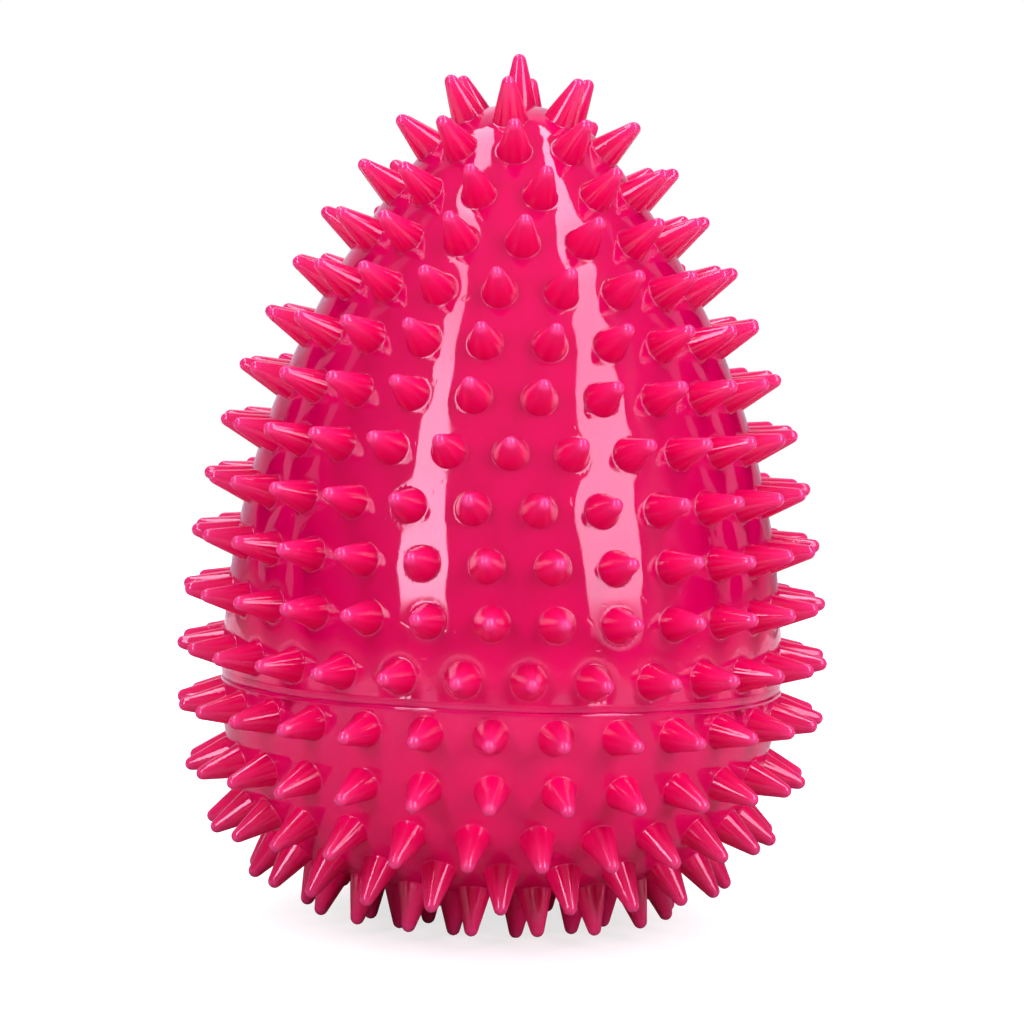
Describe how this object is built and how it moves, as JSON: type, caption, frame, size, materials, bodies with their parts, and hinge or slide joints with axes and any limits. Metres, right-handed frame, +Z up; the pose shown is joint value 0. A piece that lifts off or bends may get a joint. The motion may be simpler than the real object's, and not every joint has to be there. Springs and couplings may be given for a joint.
{
  "type": "dog fetch toy",
  "caption": "Egg-shaped soft rubber dog toy covered in rings of rounded conical spikes, moulded as two glued shells with a squeaker in its underside.",
  "frame": {"origin": "centre of the toy on the plane that its lowest spikes stand on", "axes": "+Z up the egg's axis towards its narrow end, -Y towards the picture's camera, +X to the right in the picture"},
  "size_m": [0.097, 0.097, 0.1289],
  "materials": {
    "pink_rubber": "glossy, slightly translucent thermoplastic rubber",
    "squeaker_plastic": "plain moulded",
    "reed_film": "thin clear film"
  },
  "bodies": {
    "root": {"upper_shell": "pink_rubber", "lower_shell": "pink_rubber", "squeaker_barrel": "squeaker_plastic", "squeaker_reed_block": "squeaker_plastic", "squeaker_reed": "reed_film"}
  },
  "joints": []
}
